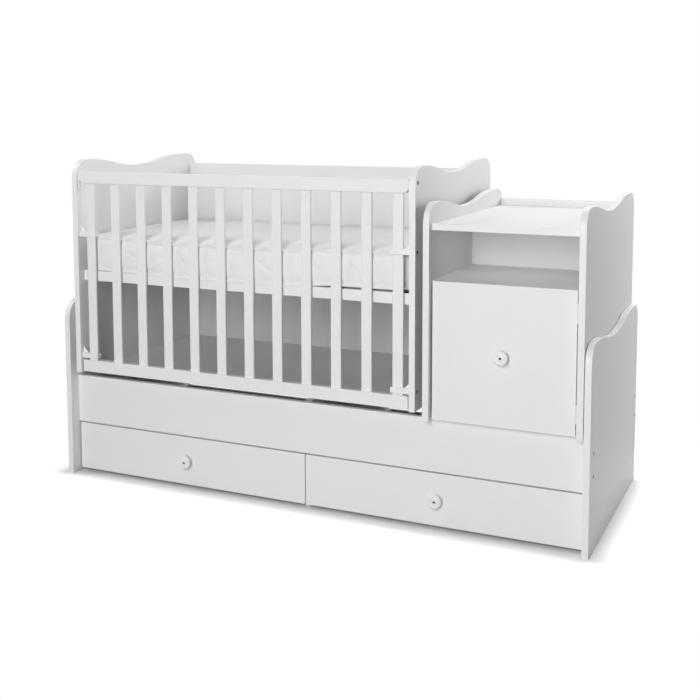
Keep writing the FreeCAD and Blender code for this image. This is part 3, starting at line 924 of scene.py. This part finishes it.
cover_data, cover_rings, bottom_points = cover_mesh("crib_mattress_cover")
low_seam_ring = 1 + len(plain_roll)
high_seam_ring = low_seam_ring + len(band_shares) - 1
mattress = placed("crib_mattress_cover", cover_data)
print("cover faces:", len(cover_data.polygons))

# %% [markdown]
# ## Let the cover settle
# A real cover is a little larger than its foam, so it bulges between the seams. Pulling points by hand
# gives a bulge that looks modelled. A short cloth simulation with some air pressure pushes the slack
# band and top out between the pinned seams. A cap on the movement keeps the cover clear of the boards
# around it.

# %% Pin the seams and run the cloth
held_upper_rings = 3
settle_frames = 20
settle_cap = 0.0038


def pin_seams(pad):
    """Pins the bottom, the rolls and the seams, so only the band and the top can move."""
    pinned = pad.vertex_groups.new(name="pinned")
    rolls = cover_rings[:low_seam_ring + 1]
    rolls += cover_rings[high_seam_ring:high_seam_ring + held_upper_rings]
    held = sorted(bottom_points.union(*rolls))
    pinned.add(held, 1.0, "REPLACE")
    return len(held)


def cloth_on(pad):
    """A cloth modifier for a light, slack cover with a little air inside."""
    cloth = pad.modifiers.new("cover", "CLOTH")
    settings = cloth.settings
    settings.quality = 6
    settings.mass = 0.25
    settings.tension_stiffness = 12.0
    settings.compression_stiffness = 12.0
    settings.shear_stiffness = 4.0
    settings.bending_stiffness = 0.25
    settings.use_pressure = True
    settings.uniform_pressure_force = 2.0
    settings.vertex_group_mass = "pinned"
    settings.shrink_min = -0.003
    settings.effector_weights.gravity = 0.0
    return cloth


def settle(pad, frames, cap):
    """Runs the cloth, then keeps each point within the cap from where it started."""
    before = [vertex.co.copy() for vertex in pad.data.vertices]
    cloth = cloth_on(pad)
    for frame_number in range(1, frames + 1):
        bpy.context.scene.frame_set(frame_number)
    evaluated = pad.evaluated_get(bpy.context.evaluated_depsgraph_get())
    after = [vertex.co.copy() for vertex in evaluated.data.vertices]
    pad.modifiers.remove(cloth)
    bpy.context.scene.frame_set(1)
    furthest = 0.0
    for vertex, old, new in zip(pad.data.vertices, before, after):
        move = new - old
        furthest = max(furthest, move.length)
        if move.length > 1e-9:
            move *= cap * math.tanh(move.length / cap) / move.length
        vertex.co = old + move
    return furthest


print("pinned points:", pin_seams(mattress))
moved = settle(mattress, settle_frames, settle_cap)
print("furthest free move:", round(moved / millimetre, 1), "mm")

# %% [markdown]
# ## Refine and crease the cover
# The front of a slack cover has a few long creases, small gathers beside the seams, and shallow folds
# along the front edge of its top. The simulation works on cells that are wider than a crease, and a
# finer grid would take too long. So a Subdivision Surface is applied first, and then each point of the
# front moves by a formula. The creases are soft ridges and dents along short lines.

# %% Keep the cover in its place and refine it
def kept_in(points, low, high):
    """Holds every point inside a box."""
    for vertex in points:
        for i in range(3):
            vertex.co[i] = min(max(vertex.co[i], low[i]), high[i])


# The room that the cover may take, short of the boards around it
room_low = (mattress_low[0] - 0.0015, mattress_low[1] - 0.0046, mattress_low[2] - 0.0075)
room_high = (mattress_high[0] + 0.0015, mattress_high[1] - 0.0003, mattress_high[2] + 0.006)
kept_in(mattress.data.vertices, room_low, room_high)
mattress.vertex_groups.clear()
softer = mattress.modifiers.new("smooth", "SUBSURF")
softer.levels = 1
softer.render_levels = 1
evaluated = mattress.evaluated_get(bpy.context.evaluated_depsgraph_get())
fine_cover = bpy.data.meshes.new_from_object(evaluated)
mattress.modifiers.remove(softer)
mattress.data = fine_cover
bpy.data.meshes.remove(cover_data)
fine_cover.name = "crib_mattress_cover"
print("fine cover faces:", len(fine_cover.polygons))

# %% Shapes of the creases and gathers
# Place along the front and share of the band's height at both ends, and the height in millimetres
creases = [
    (-0.155, 0.70, -0.093, 0.24, -3.6), (-0.535, 0.05, -0.476, 0.48, 2.2),
    (-0.425, 0.76, -0.394, 0.30, -2.6), (-0.420, 0.34, -0.384, 0.72, 1.6),
    (-0.604, 0.62, -0.571, 0.42, -2.2), (-0.334, 0.50, -0.318, 0.30, -2.0),
    (-0.344, 0.88, -0.322, 0.62, 1.4), (-0.246, 0.30, -0.195, 0.20, -1.8),
    (0.141, 0.89, 0.152, 0.50, -2.0), (0.155, 0.40, 0.167, 0.70, 1.6),
    (0.022, 0.70, 0.052, 0.38, -1.4), (-0.664, 0.84, -0.645, 0.50, -1.8),
    (0.225, 0.30, 0.262, 0.62, 1.1), (-0.720, 0.30, -0.690, 0.66, 1.0),
]
crease_width = 0.0048
# Size, pitch and seed of the wavers: two fine ripples in millimetres, and two shifts in radians
ripples = [(0.35, 0.022, 3.0), (0.25, 0.009, 5.0)]
gather_waver, fold_waver = (3.0, 0.03, 6.0), (2.5, 0.06, 8.0)
band_height = upper_seam - lower_seam
gather_height, gather_pitch, gather_reach = 0.45, 0.016, 0.008
fold_height, fold_pitch, fold_slant = 0.0011, 0.062, 0.7
fold_reach, fold_start = 0.05, 0.02


def crease_depth(x, share):
    """How far the slack creases push the front of the band out at one place, in millimetres."""
    up = share * band_height
    here = Vector((x, up))
    total = sum(waver(x, up, *ripple) for ripple in ripples)
    for x0, share0, x1, share1, height in creases:
        first, last = Vector((x0, share0 * band_height)), Vector((x1, share1 * band_height))
        run = last - first
        along = max(0.0, min(1.0, (here - first).dot(run) / run.length_squared))
        away = (here - first - run * along).length
        ridge = math.exp(-((away / crease_width) ** 2))
        total += height * ridge * (1 - (2 * along - 1) ** 4)
    return total


def gather_depth(x, away):
    """Small gathers beside a seam, in millimetres, by the distance from it."""
    phase = 2 * math.pi * x / gather_pitch + waver(x, 0.0, *gather_waver)
    return gather_height * math.sin(phase) * math.exp(-away / gather_reach)


def fold_rise(x, y, inner):
    """Shallow folds that fade from the front edge of the top inwards, in metres."""
    phase = 2 * math.pi * (x - fold_slant * inner) / fold_pitch + waver(x, y, *fold_waver)
    fade = math.exp(-inner / fold_reach) * smooth(inner / fold_start)
    return fold_height * math.sin(phase) * fade


print("creases:", len(creases))

# %% Crease the front
front_edge = middle_y - half_y
front_reach = 0.012
top_margin = 0.004
for vertex in fine_cover.vertices:
    x, y, z = vertex.co
    bottom, top = (seam_height(x, front_edge, upper) for upper in (False, True))
    share = (z - bottom) / (top - bottom)
    if y < front_edge + front_reach and 0.0 < share < 1.0:
        out = crease_depth(x, share) + gather_depth(x, min(z - bottom, top - z))
        vertex.co[1] -= millimetre * out * min(1.0, 8 * share * (1 - share))
    elif z > upper_seam - top_margin and y > front_edge:
        vertex.co[2] += fold_rise(x, y, y - front_edge)
kept_in(fine_cover.vertices, room_low, room_high)
fine_cover.shade_smooth()
print("mattress room:", [round(v, 4) for v in room_low], [round(v, 4) for v in room_high])

# %% [markdown]
# ## Mattress cover
# The cover is a white knitted cloth with a fine rib. A pattern in object coordinates would smear where
# the cloth turns down the sides, so this one reads the map that was laid out with the grid. Two crossed
# waves give the rib, and soft noise gives the uneven light of a washed cover.

# %% Cover finish and pieces of the mattress
rib_pitch_along, rib_pitch_across = 0.0022, 0.0016
rib_relief = 0.0003


def cover_finish(name, colour):
    material, shader, start = new_finish(name)
    cloth = start.node("ShaderNodeUVMap", uv_map="cloth")
    along = start.math("SINE", cloth.part(0) * (2 * math.pi / rib_pitch_along))
    across = start.math("SINE", cloth.part(1) * (2 * math.pi / rib_pitch_across))
    rib = along * 0.5 + across * 0.35
    cloud = cloth.noise(9.0, 3.0)
    mottle = cloth.noise(60.0, 3.0)
    fluff = cloth.noise(900.0)
    shade = (cloud * 0.40 + mottle * 0.45 + fluff * 0.15 + rib * 0.05).ramp(0.25, 0.75)
    start.feed(shader, {
        "Base Color": shade.between(toned(colour, 0.955), toned(colour, 1.025)),
        "Roughness": 0.82 + cloud * 0.1,
        "Normal": (rib * 0.3 + fluff * 0.4).bump(rib_relief),
        "Sheen Weight": 0.12,
        "Specular IOR Level": 0.2,
    })
    return material


mattress_cover = cover_finish("white_knit", (0.812, 0.806, 0.796))
mattress.data.materials.append(mattress_cover)
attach(mattress, "frame")
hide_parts("crib_mattress")
print("mattress dressed with", mattress_cover.name)

# %% [markdown]
# ## Piping and stitches
# A thin piping lies in the groove of each seam, and a row of short stitches runs beside it. Both follow
# a path, so two small trees make them: one sweeps a circle along the seam, and the other lays a short
# thread at even steps and drops it on to the cover. A bump texture could hint at them, but it would
# vanish from the outline. The paths are read from the settled cover, so they follow every waver.

# %% Build the seam trees
piping_steps, thread_steps = 10, 6


def piping_tree():
    tree, start, given = empty_tree("seam_piping", ["Radius"], {})
    seam = start.node("GeometryNodeMeshToCurve", {"Mesh": given["Geometry"]})
    inputs = {"Resolution": piping_steps, "Radius": given["Radius"]}
    profile = start.node("GeometryNodeCurvePrimitiveCircle", inputs)
    tube = start.node("GeometryNodeCurveToMesh", {"Curve": seam, "Profile Curve": profile})
    return close_tree(tree, start, given, tube, smooth_faces=True)


def stitch_tree():
    sizes = ["Pitch", "Length", "Thickness"]
    tree, start, given = empty_tree("seam_stitches", sizes, {"Cover": "Object"})
    seam = start.node("GeometryNodeMeshToCurve", {"Mesh": given["Geometry"]})
    inputs = {"Curve": seam, "Length": given["Pitch"]}
    points = start.node("GeometryNodeCurveToPoints", inputs, mode="LENGTH")
    tangent = points.sibling("Tangent")
    cover = start.node("GeometryNodeObjectInfo", {"Object": given["Cover"]}, out="Geometry")
    nearest = start.node("GeometryNodeProximity", {0: cover}, out="Position", target_element="FACES")
    points = start.node("GeometryNodeSetPosition", {"Geometry": points, "Position": nearest})
    turn = start.node("FunctionNodeAlignRotationToVector", {"Vector": tangent}, axis="Z")
    thread = cylinder(start, thread_steps, given["Thickness"] * 0.5, given["Length"])
    spread = {"Points": points, "Instance": thread, "Rotation": turn}
    copies = start.node("GeometryNodeInstanceOnPoints", spread)
    return close_tree(tree, start, given, copies, smooth_faces=True)


seam_piping = piping_tree()
seam_stitches = stitch_tree()
print("seam trees:", seam_piping.name, seam_stitches.name)

# %% Sew the seams
piping_sink = 0.0009
stitch_place = 0.6
twist_pitch = 0.0018


def loop_mesh(name, places):
    """A closed chain of edges through the places."""
    data = bpy.data.meshes.new(name)
    count = len(places)
    edges = [(i, (i + 1) % count) for i in range(count)]
    data.from_pydata([tuple(place) for place in places], edges, [])
    return data


def seam_path(upper, beside, sink):
    """The places of one seam, moved along the band and into its groove."""
    points = mattress.data.vertices
    ring = cover_rings[high_seam_ring if upper else low_seam_ring]
    inner_ring = cover_rings[high_seam_ring - 1 if upper else low_seam_ring + 1]
    places = [points[a].co.lerp(points[b].co, beside) for a, b in zip(ring, inner_ring)]
    sunk = []
    for k, place in enumerate(places):
        run = places[(k + 1) % len(places)] - places[k - 1]
        away = Vector((run[1], -run[0], 0)).normalized()
        sunk.append(place - sink * away)
    return sunk


def thread_finish(name, colour):
    material, shader, start = new_finish(name)
    place = start.node("ShaderNodeTexCoord", out="Object")
    along = place.part(0) + place.part(1) + place.part(2) * 0.4
    twist = start.math("SINE", along * (2 * math.pi / twist_pitch))
    fluff = place.noise(700.0)
    start.feed(shader, {
        "Base Color": fluff.between(toned(colour, 0.95), toned(colour, 1.03)),
        "Roughness": 0.75 + fluff * 0.15,
        "Normal": (twist * 0.3 + fluff * 0.5).bump(rib_relief),
        "Specular IOR Level": 0.2,
    })
    return material


cover_thread = thread_finish("white_thread", (0.815, 0.81, 0.80))
piping_values = {"Radius": 0.0012, "Material": cover_thread}
stitch_values = {
    "Pitch": 0.0065, "Length": 0.0045, "Thickness": 0.0009, "Cover": mattress,
    "Material": cover_thread,
}
for side, upper in (("upper", True), ("lower", False)):
    path = loop_mesh(side + "_seam", seam_path(upper, 0.0, piping_sink))
    piping = grown("mattress_piping_" + side, path, seam_piping, piping_values)
    row = loop_mesh(side + "_stitch_row", seam_path(upper, stitch_place, 0.0))
    stitches = grown("mattress_stitches_" + side, row, seam_stitches, stitch_values)
    for piece in (piping, stitches):
        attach(piece, "frame")
    print(piping.name, len(piping.data.polygons), stitches.name, len(stitches.data.polygons))

# %% [markdown]
# ## Size of the part
# Dressing a part must not make it grow. The box of the solids was measured and printed right after
# loading.

# %% Finish
print("dressing finished")
